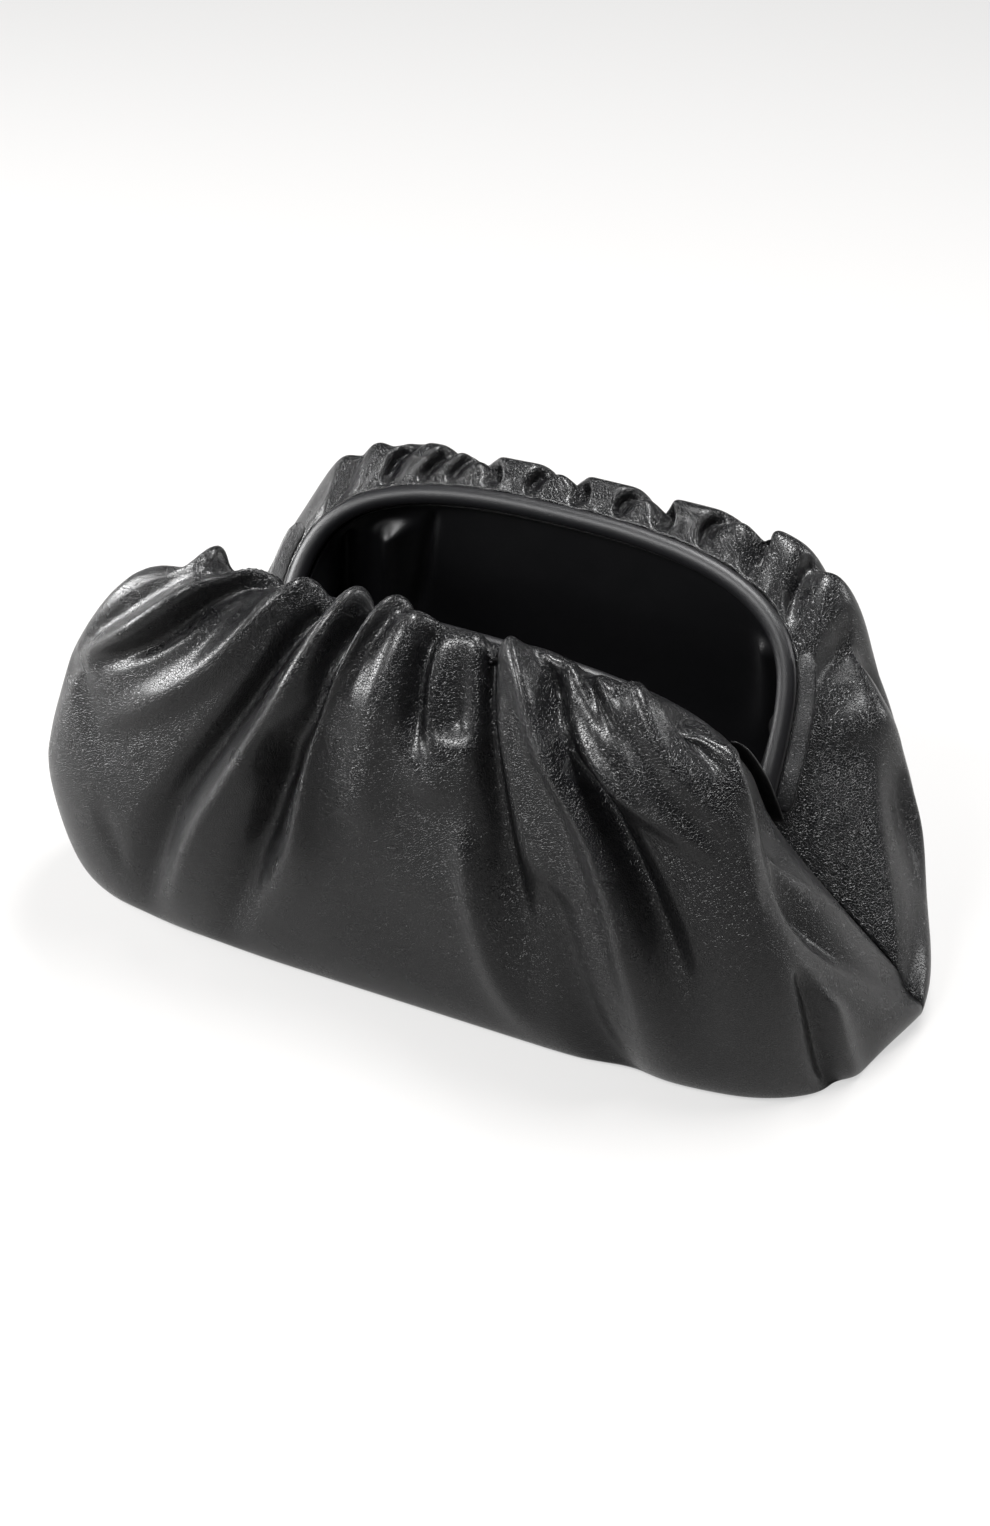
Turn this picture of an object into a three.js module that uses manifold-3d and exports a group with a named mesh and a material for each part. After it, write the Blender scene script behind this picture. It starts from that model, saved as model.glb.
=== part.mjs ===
// Soft gathered clutch bag, open, standing on its base: two leather panels pleated onto a hinged,
// leather-covered frame, with a leather lining pouch inside.
// Millimetres. +X runs along the bag, +Y to the back, +Z up. Z = 0 is the floor that it rests on.
import * as THREE from "three";
import { mergeVertices } from "three/addons/utils/BufferGeometryUtils.js";
import Module from "manifold-3d";

// Driving sizes of the open bag
const LENGTH = 402; // between the two side seam tips
const DEPTH = 208; // from the front belly to the back belly
const HEIGHT = 190; // floor to the top of the gathers
const LEATHER_WALL = 2;
const LINING_WALL = 1.5;
const SEAM_GAP = 0.4; // between the two panels along the side seams and the keel
const FIT_GAP = 0.5; // between the frame and what is fixed to it

// The frame: two arches that lean apart about the hinge axis
const HINGE_HALF_SPAN = 125;
const HINGE_HEIGHT = 82;
const ARCH_RISE = 112.5;
const ARCH_SIDE_POWER = 2.5; // squareness of the arch across its width
const ARCH_TOP_POWER = 5.1; // squareness of the arch up its height
const FRAME_LEAN = THREE.MathUtils.degToRad(31);
const TUBE_RADIUS = 4.5;
const HINGE_PIN_RADIUS = 4.2;
const HINGE_PIN_LENGTH = 9;
const HINGE_LUG_RADIUS = 3;

// The straps that finish the frame's covering on each leg
const STRAP_WIDTH = 8.5;
const STRAP_THICKNESS = 1.6;
const STRAP_FROM = 0.63; // share of the half arch, from the crown, where a strap starts
const STRAP_TO = 0.955;

const LINING_LIFT = 7; // the lining's floor above the base

const PANEL_COLUMNS = 64;
const LINING_COLUMNS = 26;
const FRAME_RINGS = 36;
const TUBE_SIDES = 8;
const STRAP_RINGS = 9;

const FRONT = -1;
const BACK = 1;

// A row for each station along the half arch. at: share of the half arch from its crown.
// The rest are shares of half LENGTH (X), half DEPTH (Y) and HEIGHT (Z) of the panel's lines there.
const PANEL_STATIONS = table(
  "at    crestX crestY crestZ  shoulderX shoulderY shoulderZ  bellyX bellyY bellyZ  footX  footY  keelX",
  [0.00, 0.00, 0.72, 1.000, 0.00, 0.94, 0.830, 0.00, 1.00, 0.42, 0.000, 0.86, 0.00],
  [0.25, 0.26, 0.72, 0.995, 0.29, 0.94, 0.825, 0.31, 1.00, 0.42, 0.310, 0.86, 0.28],
  [0.45, 0.47, 0.72, 0.980, 0.52, 0.92, 0.800, 0.57, 0.99, 0.41, 0.570, 0.84, 0.52],
  [0.60, 0.64, 0.70, 0.910, 0.71, 0.86, 0.740, 0.76, 0.94, 0.39, 0.770, 0.79, 0.70],
  [0.74, 0.745, 0.60, 0.740, 0.82, 0.74, 0.600, 0.88, 0.83, 0.34, 0.890, 0.69, 0.82],
  [0.87, 0.84, 0.40, 0.500, 0.90, 0.52, 0.400, 0.95, 0.60, 0.24, 0.960, 0.54, 0.90],
  [0.95, 0.92, 0.18, 0.280, 0.96, 0.26, 0.220, 0.99, 0.32, 0.14, 0.985, 0.30, 0.94],
  [1.00, 0.97, 0.00, 0.140, 0.985, 0.00, 0.110, 1.00, 0.00, 0.07, 0.980, 0.00, 0.95],
);
// Where the lines of PANEL_STATIONS lie down the panel: frame seam, crest, shoulder, belly, foot, keel
const PANEL_LINES = [0, 0.1, 0.22, 0.5, 0.76, 1];
const PANEL_ROWS = [0, 0.03, 0.06, 0.09, 0.12, 0.155, 0.19, 0.24, 0.31, 0.39, 0.48, 0.57, 0.65, 0.71, 0.76, 1];
const LAST_WALL_ROW = 0.71; // below it the wall turns under, and keeps this row's inward direction

// The bag sags more to one side: factors on the wing's reach in X and its rise as a share of HEIGHT
const WING_CHANGES = table(
  "side end  crestX shoulderX bellyX footX  crestRise shoulderRise bellyRise",
  [FRONT, -1, 1.06, 1.09, 1.08, 1.01, 0.045, 0.05, 0.02],
  [FRONT, 1, 1.00, 0.99, 0.98, 0.98, 0, 0, 0],
  [BACK, -1, 0.94, 0.95, 0.97, 1.00, 0, 0, 0],
  [BACK, 1, 0.975, 0.935, 0.945, 0.98, 0, 0, 0],
);

// Lining: the same kind of table for the pouch inside. Its upper line stays by the frame, so upperX is
// a share of HINGE_HALF_SPAN.
const LINING_STATIONS = table(
  "at    upperX upperY upperZ  middleX middleY middleZ  floorX floorY  keelX",
  [0.00, 0.00, 0.60, 0.74, 0.00, 0.72, 0.40, 0.00, 0.60, 0.00],
  [0.45, 0.74, 0.58, 0.72, 0.49, 0.69, 0.38, 0.50, 0.57, 0.46],
  [0.60, 0.91, 0.50, 0.66, 0.63, 0.59, 0.36, 0.64, 0.48, 0.57],
  [0.74, 0.915, 0.36, 0.55, 0.68, 0.43, 0.33, 0.70, 0.34, 0.64],
  [0.87, 0.91, 0.20, 0.44, 0.70, 0.23, 0.25, 0.73, 0.18, 0.67],
  [1.00, 0.91, 0.00, 0.37, 0.72, 0.00, 0.19, 0.74, 0.00, 0.68],
);
const LINING_LINES = [0, 0.22, 0.55, 0.8, 1];
const LINING_ROWS = [0, 0.1, 0.22, 0.38, 0.55, 0.68, 0.8, 1];

// Folds that run down from the gathers. atA..atD: where along the arch the fold's line is, at equal
// steps from its top to its end. Widths are shares of the arch, height in mm along the leather's normal.
const FOLD_COLUMNS = "atA atB atC atD  top end  widthTop widthEnd  height";
const FRONT_FOLDS = table(
  FOLD_COLUMNS,
  [-0.46, -0.48, -0.53, -0.62, 0.03, 0.24, 0.03, 0.035, 9],
  [-0.35, -0.42, -0.52, -0.63, 0.04, 0.26, 0.022, 0.03, 5],
  [-0.25, -0.33, -0.44, -0.58, 0.03, 0.36, 0.024, 0.03, 6],
  [-0.17, -0.275, -0.385, -0.53, 0.03, 0.63, 0.028, 0.04, 8],
  [-0.22, -0.325, -0.43, -0.53, 0.08, 0.62, 0.02, 0.03, -6],
  [-0.06, -0.17, -0.2, -0.38, 0.03, 0.6, 0.026, 0.035, 8],
  [-0.11, -0.21, -0.26, -0.36, 0.08, 0.5, 0.02, 0.028, -5],
  [-0.005, 0.0, 0.02, 0.06, 0.03, 0.26, 0.024, 0.028, 6],
  [0.13, 0.14, 0.135, 0.11, 0.03, 0.26, 0.022, 0.028, 6],
  [0.065, 0.07, 0.072, 0.075, 0.06, 0.22, 0.026, 0.026, -4],
  [0.165, 0.335, 0.43, 0.49, 0.04, 0.6, 0.024, 0.035, 7],
  [0.225, 0.27, 0.44, 0.6, 0.03, 0.25, 0.024, 0.03, 6],
  [0.25, 0.37, 0.47, 0.52, 0.1, 0.5, 0.024, 0.04, -5],
  [0.33, 0.37, 0.48, 0.6, 0.03, 0.25, 0.022, 0.028, 5],
  [0.46, 0.48, 0.52, 0.57, 0.03, 0.2, 0.026, 0.03, 8],
  [0.56, 0.57, 0.6, 0.64, 0.03, 0.18, 0.028, 0.03, -6],
  [0.65, 0.64, 0.66, 0.7, 0.02, 0.18, 0.026, 0.03, 6],
  [0.28, 0.32, 0.38, 0.46, 0.44, 0.72, 0.05, 0.05, -4],
);
const BACK_FOLDS = table(
  FOLD_COLUMNS,
  [-0.6, -0.62, -0.66, -0.72, 0.03, 0.3, 0.03, 0.04, 5],
  [-0.44, -0.45, -0.48, -0.54, 0.02, 0.34, 0.028, 0.035, 7],
  [-0.33, -0.34, -0.36, -0.42, 0.02, 0.3, 0.026, 0.035, 8],
  [-0.25, -0.25, -0.27, -0.3, 0.02, 0.42, 0.024, 0.035, 7],
  [-0.18, -0.18, -0.19, -0.22, 0.02, 0.3, 0.02, 0.03, 6],
  [-0.1, -0.1, -0.11, -0.14, 0.02, 0.5, 0.024, 0.035, 7],
  [-0.02, -0.02, -0.03, -0.05, 0.02, 0.34, 0.024, 0.035, 6],
  [0.07, 0.07, 0.07, 0.08, 0.02, 0.42, 0.026, 0.035, 7],
  [0.16, 0.16, 0.17, 0.2, 0.02, 0.3, 0.024, 0.03, 7],
  [0.25, 0.26, 0.28, 0.33, 0.02, 0.5, 0.028, 0.035, 8],
  [0.36, 0.36, 0.39, 0.45, 0.02, 0.34, 0.028, 0.035, 8],
  [0.47, 0.48, 0.51, 0.57, 0.02, 0.42, 0.03, 0.035, 6],
  [0.6, 0.61, 0.65, 0.71, 0.03, 0.34, 0.03, 0.04, 5],
  [0.76, 0.77, 0.8, 0.84, 0.05, 0.5, 0.03, 0.04, 4],
);
const FOLD_START_SPAN = 0.05; // a fold rises over this much of the way down from its top
const FOLD_FADE = 0.55; // share of a fold's run after which it fades out

// Colours and finish of the materials
const LEATHER = { color: 0x161617, roughness: 0.42, metalness: 0 };
const FRAME_LEATHER = { color: 0x121213, roughness: 0.5, metalness: 0 };
const LINING_LEATHER = { color: 0x101011, roughness: 0.5, metalness: 0 };
const HINGE_METAL = { color: 0x1a1a1b, roughness: 0.4, metalness: 0.9 };

const wasm = await Module();
wasm.setup();

// Tables and interpolation

// Rows of numbers under named columns: [{at, crestX, ...}, ...]
function table(names, ...rows) {
  const columns = names.trim().split(/\s+/);
  return rows.map((row) => Object.fromEntries(columns.map((name, i) => [name, row[i]])));
}

function smoothStep(from, to, value) {
  return THREE.MathUtils.smoothstep(value, from, to);
}

// A curve through (knots, values) that never overshoots them: cubic pieces whose slope at a knot is
// the harmonic mean of its two chords, or level where the values turn.
function steadyCurve(knots, values) {
  const last = knots.length - 1;
  const chords = knots.slice(1).map((knot, i) => (values[i + 1] - values[i]) / (knot - knots[i]));
  const slopes = knots.map((_, i) => {
    if (i === 0) return chords[0];
    if (i === last) return chords[last - 1];
    const [before, after] = [chords[i - 1], chords[i]];
    return before * after <= 0 ? 0 : (2 * before * after) / (before + after);
  });
  return (at) => {
    let i = 0;
    while (i < last - 1 && at > knots[i + 1]) i += 1;
    const span = knots[i + 1] - knots[i];
    const t = (at - knots[i]) / span;
    const t2 = t * t;
    const t3 = t2 * t;
    return (
      (2 * t3 - 3 * t2 + 1) * values[i] +
      (t3 - 2 * t2 + t) * span * slopes[i] +
      (3 * t2 - 2 * t3) * values[i + 1] +
      (t3 - t2) * span * slopes[i + 1]
    );
  };
}

// One curve for each column of a half-arch table, mirrored to both ends: X columns change sign.
function stationCurves(stations) {
  const mirrored = stations.slice(1).reverse();
  const knots = [...mirrored.map((row) => -row.at), ...stations.map((row) => row.at)];
  const curves = {};
  for (const name of Object.keys(stations[0])) {
    const sign = name.endsWith("X") ? -1 : 1;
    const values = [...mirrored.map((row) => sign * row[name]), ...stations.map((row) => row[name])];
    curves[name] = steadyCurve(knots, values);
  }
  return curves;
}

// The frame's arch, by its length

const ARCH = measuredArch(720);

function measuredArch(steps) {
  const points = [];
  let length = 0;
  for (let i = 0; i <= steps; i += 1) {
    const angle = (Math.PI * i) / steps;
    const across = Math.cos(angle);
    const x = -HINGE_HALF_SPAN * Math.sign(across) * Math.abs(across) ** (2 / ARCH_SIDE_POWER);
    const rise = ARCH_RISE * Math.abs(Math.sin(angle)) ** (2 / ARCH_TOP_POWER);
    const before = points.at(-1);
    if (before) length += Math.hypot(x - before.x, rise - before.rise);
    points.push({ x, rise, length });
  }
  return { points, length };
}

// The arch point at a share u (-1 left hinge, 0 crown, 1 right hinge), moved outwards in its plane.
function archPoint(u, outwards = 0) {
  const at = ((u + 1) / 2) * ARCH.length;
  const reach = 1.5;
  const a = pointAtLength(at - reach);
  const b = pointAtLength(at + reach);
  const here = pointAtLength(at);
  const run = Math.hypot(b.x - a.x, b.rise - a.rise);
  return {
    x: here.x - ((b.rise - a.rise) / run) * outwards,
    rise: here.rise + ((b.x - a.x) / run) * outwards,
  };
}

function pointAtLength(wanted) {
  const at = THREE.MathUtils.clamp(wanted, 0, ARCH.length);
  let low = 0;
  let high = ARCH.points.length - 1;
  while (high - low > 1) {
    const middle = (low + high) >> 1;
    if (ARCH.points[middle].length <= at) low = middle;
    else high = middle;
  }
  const a = ARCH.points[low];
  const b = ARCH.points[high];
  const t = (at - a.length) / (b.length - a.length);
  return { x: a.x + (b.x - a.x) * t, rise: a.rise + (b.rise - a.rise) * t };
}

// From the arch's own plane into the bag, leaning to one side. apart moves it out of the plane,
// away from the other arch.
function leaning(side, x, rise, apart = 0) {
  return new THREE.Vector3(
    x,
    side * (rise * Math.sin(FRAME_LEAN) + apart * Math.cos(FRAME_LEAN)),
    HINGE_HEIGHT + rise * Math.cos(FRAME_LEAN) - apart * Math.sin(FRAME_LEAN),
  );
}

// The direction out of an arch's plane, towards the other arch
function planeNormal(side) {
  return new THREE.Vector3(0, -side * Math.cos(FRAME_LEAN), Math.sin(FRAME_LEAN));
}

// Leather surfaces: u along the arch, v from the frame (0) down to the keel (1)

const PANEL_SEAM_OFFSET = TUBE_RADIUS + FIT_GAP;
// The lining's edge stays clear of the tube and of the pin's inner end, by its own wall and a gap
const LINING_SEAM_OFFSET = Math.max(TUBE_RADIUS, HINGE_PIN_LENGTH / 2) + LINING_WALL + 2 * FIT_GAP;
const LINING_RIM_TURN = THREE.MathUtils.degToRad(50); // round the tube, from its inner side to its back
const panelCurves = stationCurves(PANEL_STATIONS);
const liningCurves = stationCurves(LINING_STATIONS);

function wingChange(side, u) {
  const row = WING_CHANGES.find((change) => change.side === side && change.end === (u < 0 ? -1 : 1));
  const weight = smoothStep(0.15, 0.6, Math.abs(u)) * (1 - smoothStep(0.86, 1, Math.abs(u)));
  const spread = (name) => 1 + (row[name] - 1) * weight;
  const rise = (name) => row[name] * weight;
  return { spread, rise };
}

function panelSpine(side, u) {
  const share = Object.fromEntries(Object.entries(panelCurves).map(([name, curve]) => [name, curve(u)]));
  const { spread, rise } = wingChange(side, u);
  const place = (x, y, z) => new THREE.Vector3((x * LENGTH) / 2, (side * y * DEPTH) / 2, z * HEIGHT);
  const seam = archPoint(u, PANEL_SEAM_OFFSET);
  return [
    leaning(side, seam.x, seam.rise),
    place(share.crestX * spread("crestX"), share.crestY, share.crestZ + rise("crestRise")),
    place(share.shoulderX * spread("shoulderX"), share.shoulderY, share.shoulderZ + rise("shoulderRise")),
    place(share.bellyX * spread("bellyX"), share.bellyY, share.bellyZ + rise("bellyRise")),
    place(share.footX * spread("footX"), share.footY, 0),
    place(share.keelX, 0, 0),
  ];
}

function liningSpine(side, u) {
  const share = Object.fromEntries(Object.entries(liningCurves).map(([name, curve]) => [name, curve(u)]));
  const place = (x, y, z) => new THREE.Vector3((x * LENGTH) / 2, (side * y * DEPTH) / 2, z);
  const turn = LINING_RIM_TURN * (1 - smoothStep(0.85, 1, Math.abs(u)));
  const rim = archPoint(u, -LINING_SEAM_OFFSET * Math.cos(turn));
  return [
    leaning(side, rim.x, rim.rise, LINING_SEAM_OFFSET * Math.sin(turn)),
    place(share.upperX, share.upperY, share.upperZ * HEIGHT).setX(share.upperX * HINGE_HALF_SPAN),
    place(share.middleX, share.middleY, share.middleZ * HEIGHT),
    place(share.floorX, share.floorY, LINING_LIFT + LINING_WALL),
    place(share.keelX, 0, LINING_LIFT + LINING_WALL),
  ];
}

// A smooth surface through the spines: returns (u, v) => point
function sheet(spineAt, lines) {
  const made = new Map();
  return (u, v) => {
    if (!made.has(u)) {
      const spine = spineAt(u);
      made.set(u, ["x", "y", "z"].map((axis) => steadyCurve(lines, spine.map((p) => p[axis]))));
    }
    const [x, y, z] = made.get(u);
    return new THREE.Vector3(x(v), y(v), z(v));
  };
}

// The height that all folds add at (u, v)
function foldHeight(folds, u, v) {
  let height = 0;
  for (const fold of folds) {
    if (v <= fold.top - FOLD_START_SPAN || v >= fold.end) continue;
    const run = THREE.MathUtils.clamp((v - fold.top) / (fold.end - fold.top), 0, 1);
    const line = steadyCurve([0, 1 / 3, 2 / 3, 1], [fold.atA, fold.atB, fold.atC, fold.atD]);
    const width = fold.widthTop + (fold.widthEnd - fold.widthTop) * run;
    const across = (u - line(run)) / width;
    const along = smoothStep(fold.top - FOLD_START_SPAN, fold.top + FOLD_START_SPAN, v);
    height += fold.height * along * (1 - smoothStep(FOLD_FADE, 1, run)) * Math.exp(-across * across);
  }
  return height * smoothStep(0, FOLD_START_SPAN, v);
}

// The leather's outward direction. It is held to the middle plane along the side seams, and to the
// edge direction, where one is given, along the frame, so that a cut edge is square to its seam.
function sheetNormal(surface, side, u, v, edge) {
  const step = 1e-3;
  const uLow = Math.max(u - step, -1);
  const uHigh = Math.min(u + step, 1);
  const vLow = Math.max(v - step, 0);
  const vHigh = Math.min(v + step, 1);
  const alongU = surface(uHigh, v).sub(surface(uLow, v));
  const alongV = surface(u, vHigh).sub(surface(u, vLow));
  const normal = alongU.cross(alongV).multiplyScalar(side).normalize();
  if (edge) normal.lerp(edge, 1 - smoothStep(0, 0.04, v));
  if (v === 1) normal.set(0, 0, -1);
  if (Math.abs(u) === 1) normal.y = 0;
  return normal.normalize();
}

// Closed solids from grids

// Triangles of a four-cornered cell. Cells of the left half are cut along the other diagonal, so the
// body is symmetric and no corner cell at a side seam folds flat.
function addCell(positions, [a, b, c, d], flip, leftHalf) {
  const cut = leftHalf ? [a, b, d, b, c, d] : [a, b, c, a, c, d];
  if (flip) cut.reverse();
  for (const p of cut) positions.push(p.x, p.y, p.z);
}

// The two faces of a wall, each as points[row][column]
function addFaces(positions, outer, inner, flip) {
  const columns = outer[0].length;
  for (let i = 0; i < outer.length - 1; i += 1) {
    for (let j = 0; j < columns - 1; j += 1) {
      const left = j < (columns - 1) / 2;
      const cell = (grid) => [grid[i][j], grid[i + 1][j], grid[i + 1][j + 1], grid[i][j + 1]];
      addCell(positions, cell(outer), flip, left);
      addCell(positions, cell(inner), !flip, left);
    }
  }
}

// The strip that closes a wall along one row of its two faces
function addRowEdge(positions, outerRow, innerRow, flip) {
  for (let j = 0; j < outerRow.length - 1; j += 1) {
    addCell(positions, [outerRow[j], outerRow[j + 1], innerRow[j + 1], innerRow[j]], flip, false);
  }
}

// A wall closed along all four of its edges
function wallGeometry(outer, inner, flip) {
  const positions = [];
  const column = (grid, j) => grid.map((row) => row.at(j));
  addFaces(positions, outer, inner, flip);
  addRowEdge(positions, outer[0], inner[0], flip);
  addRowEdge(positions, outer.at(-1), inner.at(-1), !flip);
  addRowEdge(positions, column(outer, 0), column(inner, 0), !flip);
  addRowEdge(positions, column(outer, -1), column(inner, -1), flip);
  return closedGeometry(positions);
}

// Points are set to whole thousandths of a millimetre, so that the two sides of a seam meet exactly.
function closedGeometry(positions) {
  const geometry = new THREE.BufferGeometry();
  const snapped = positions.map((place) => Math.round(place * 1000) / 1000);
  geometry.setAttribute("position", new THREE.Float32BufferAttribute(snapped, 3));
  const merged = mergeVertices(geometry, 1e-4);
  merged.computeVertexNormals();
  return merged;
}

function evenShares(count) {
  return Array.from({ length: count + 1 }, (_, i) => -1 + (2 * i) / count);
}

// The outer leather of one side
function panelGeometry(side, folds) {
  const surface = sheet((u) => panelSpine(side, u), PANEL_LINES);
  const plane = planeNormal(side);
  const columns = evenShares(PANEL_COLUMNS);
  const outer = [];
  const inner = [];
  for (const v of PANEL_ROWS) {
    const outerRow = [];
    const innerRow = [];
    for (const u of columns) {
      const normal = sheetNormal(surface, side, u, v < 1 ? Math.min(v, LAST_WALL_ROW) : 1, plane);
      const atSeam = 1 - smoothStep(0.9, 1, Math.abs(u));
      const point = surface(u, v).addScaledVector(normal, foldHeight(folds, u, v) * atSeam);
      const within = point.clone().addScaledVector(normal, -LEATHER_WALL);
      for (const p of [point, within]) {
        const clearance = SEAM_GAP / 2;
        p.y = side * Math.max(side * p.y, clearance);
        p.z = Math.max(p.z, p === point ? 0 : LEATHER_WALL);
      }
      outerRow.push(point);
      innerRow.push(within);
    }
    outer.push(outerRow);
    inner.push(innerRow);
  }
  return wallGeometry(outer, inner, side === BACK);
}

// The lining pouch: both halves of its wall in one closed body, open at the top
function liningGeometry() {
  const positions = [];
  const columns = evenShares(LINING_COLUMNS);
  for (const side of [FRONT, BACK]) {
    const surface = sheet((u) => liningSpine(side, u), LINING_LINES);
    const faces = { inner: [], outer: [] };
    for (const v of LINING_ROWS) {
      const seen = columns.map((u) => surface(u, v));
      const hidden = columns.map((u, j) => {
        const normal = sheetNormal(surface, side, u, v);
        return seen[j].clone().addScaledVector(normal, LINING_WALL);
      });
      faces.inner.push(seen);
      faces.outer.push(hidden);
    }
    addFaces(positions, faces.outer, faces.inner, side === BACK);
    addRowEdge(positions, faces.outer[0], faces.inner[0], side === BACK);
  }
  return closedGeometry(positions);
}

// A closed section carried along a path: rings of points, capped at both ends
function sweptGeometry(rings) {
  const positions = [];
  const push = (...points) => points.forEach((p) => positions.push(p.x, p.y, p.z));
  const sides = rings[0].length;
  for (let i = 0; i < rings.length - 1; i += 1) {
    for (let j = 0; j < sides; j += 1) {
      const k = (j + 1) % sides;
      push(rings[i][j], rings[i][k], rings[i + 1][k], rings[i][j], rings[i + 1][k], rings[i + 1][j]);
    }
  }
  const first = rings[0];
  const last = rings.at(-1);
  for (let j = 1; j < sides - 1; j += 1) {
    push(first[0], first[j + 1], first[j]);
    push(last[0], last[j], last[j + 1]);
  }
  return closedGeometry(positions);
}

// The frame

// How far from the hinge axis the tubes start, so that the two of them and the pin stay clear
const HINGE_CLEARANCE = Math.max(
  (TUBE_RADIUS * Math.cos(FRAME_LEAN) + FIT_GAP) / Math.sin(FRAME_LEAN),
  HINGE_PIN_RADIUS + 2 * FIT_GAP,
);

function frameGeometry(side) {
  const endShare = 1 - (2 * HINGE_CLEARANCE) / ARCH.length;
  const rings = [];
  for (let i = 0; i <= FRAME_RINGS; i += 1) {
    const u = endShare * (-1 + (2 * i) / FRAME_RINGS);
    const ring = [];
    for (let j = 0; j < TUBE_SIDES; j += 1) {
      const angle = (-side * 2 * Math.PI * (j + 0.5)) / TUBE_SIDES;
      const point = archPoint(u, TUBE_RADIUS * Math.cos(angle));
      ring.push(leaning(side, point.x, point.rise, TUBE_RADIUS * Math.sin(angle)));
    }
    rings.push(ring);
  }
  return sweptGeometry(rings);
}

// A strap lies beside the tube, over the panel's edge, on the face towards the mouth
function strapGeometry(side, end) {
  const near = PANEL_SEAM_OFFSET + FIT_GAP;
  const far = near + STRAP_WIDTH;
  const top = -FIT_GAP;
  const section = [
    [near, top],
    [far, top],
    [far, top - STRAP_THICKNESS],
    [near, top - STRAP_THICKNESS],
  ];
  if (side * end < 0) section.reverse();
  const rings = [];
  for (let i = 0; i <= STRAP_RINGS; i += 1) {
    const u = end * (STRAP_FROM + ((STRAP_TO - STRAP_FROM) * i) / STRAP_RINGS);
    rings.push(
      section.map(([out, apart]) => {
        const point = archPoint(u, out);
        return leaning(side, point.x, point.rise, apart);
      }),
    );
  }
  return sweptGeometry(rings);
}

// A pin across the hinge axis with a lug up to each of the two tubes
function hingeGeometry(end) {
  const { Manifold } = wasm;
  const round = 20;
  const pin = Manifold.cylinder(HINGE_PIN_LENGTH, HINGE_PIN_RADIUS, HINGE_PIN_RADIUS, round, true).rotate([0, 90, 0]).rotate([9, 0, 0]);
  const lugLength = HINGE_CLEARANCE - FIT_GAP;
  const lean = THREE.MathUtils.radToDeg(FRAME_LEAN);
  const lug = Manifold.cylinder(lugLength, HINGE_LUG_RADIUS, HINGE_LUG_RADIUS, round);
  const solid = pin.add(lug.rotate([lean, 0, 0])).add(lug.rotate([-lean, 0, 0]));
  const mesh = solid.translate([end * HINGE_HALF_SPAN, 0, HINGE_HEIGHT]).getMesh();
  const geometry = new THREE.BufferGeometry();
  const places = [];
  for (let i = 0; i < mesh.numVert; i += 1) {
    places.push(...mesh.vertProperties.slice(i * mesh.numProp, i * mesh.numProp + 3));
  }
  geometry.setAttribute("position", new THREE.Float32BufferAttribute(places, 3));
  geometry.setIndex([...mesh.triVerts]);
  geometry.computeVertexNormals();
  return geometry;
}

// The scene graph

const pieces = new THREE.Group();
pieces.name = "pieces";

function addPiece(name, geometry, finish) {
  const mesh = new THREE.Mesh(geometry, new THREE.MeshStandardMaterial(finish));
  mesh.name = name;
  pieces.add(mesh);
}

addPiece("front_panel", panelGeometry(FRONT, FRONT_FOLDS), LEATHER);
addPiece("back_panel", panelGeometry(BACK, BACK_FOLDS), LEATHER);
addPiece("lining", liningGeometry(), LINING_LEATHER);
addPiece("front_frame", frameGeometry(FRONT), FRAME_LEATHER);
addPiece("back_frame", frameGeometry(BACK), FRAME_LEATHER);
addPiece("strap_front_left", strapGeometry(FRONT, -1), FRAME_LEATHER);
addPiece("strap_front_right", strapGeometry(FRONT, 1), FRAME_LEATHER);
addPiece("strap_back_left", strapGeometry(BACK, -1), FRAME_LEATHER);
addPiece("strap_back_right", strapGeometry(BACK, 1), FRAME_LEATHER);
addPiece("hinge_left", hingeGeometry(-1), HINGE_METAL);
addPiece("hinge_right", hingeGeometry(1), HINGE_METAL);

// The part's origin is under the middle of its box
const middle = new THREE.Box3().setFromObject(pieces).getCenter(new THREE.Vector3());
pieces.position.set(-middle.x, -middle.y, 0);

const bag = new THREE.Group();
bag.name = "gathered_clutch_bag";
bag.add(pieces);

export default bag;
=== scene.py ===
# %% [markdown]
# # A soft gathered clutch bag, open
#
# The bag is two leather panels pleated onto a hinged, leather-covered frame, with a lining pouch
# inside. Each soft piece is one function of two parameters: `u` runs along the frame's arch and `v`
# from the frame down to the keel under the bag. Short tables say where the leather goes and where
# its folds run, and a cloth simulation lets it settle between them.

import math

import bpy
import numpy as np
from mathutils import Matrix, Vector


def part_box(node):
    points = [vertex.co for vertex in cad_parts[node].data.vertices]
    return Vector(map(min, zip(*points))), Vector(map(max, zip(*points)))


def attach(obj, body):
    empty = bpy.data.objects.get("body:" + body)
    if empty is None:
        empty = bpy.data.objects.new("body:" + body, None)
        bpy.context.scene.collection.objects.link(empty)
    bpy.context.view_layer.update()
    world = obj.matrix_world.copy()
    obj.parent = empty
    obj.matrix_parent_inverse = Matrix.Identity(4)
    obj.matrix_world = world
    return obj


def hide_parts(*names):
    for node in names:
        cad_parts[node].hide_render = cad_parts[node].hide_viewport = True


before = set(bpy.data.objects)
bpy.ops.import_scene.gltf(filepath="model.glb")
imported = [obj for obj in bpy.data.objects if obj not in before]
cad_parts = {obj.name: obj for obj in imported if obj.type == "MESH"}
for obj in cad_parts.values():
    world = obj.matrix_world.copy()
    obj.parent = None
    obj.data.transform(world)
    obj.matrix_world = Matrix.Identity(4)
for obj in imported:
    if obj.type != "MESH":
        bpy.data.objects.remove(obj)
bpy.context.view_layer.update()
MM = 0.001

# %% [markdown]
# ## Sizes
#
# The frame's two arches turn about one hinge axis, so that axis is the natural place to measure
# from. Its middle is read from the CAD hinges, and every other size is a named value in millimetres.

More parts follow.
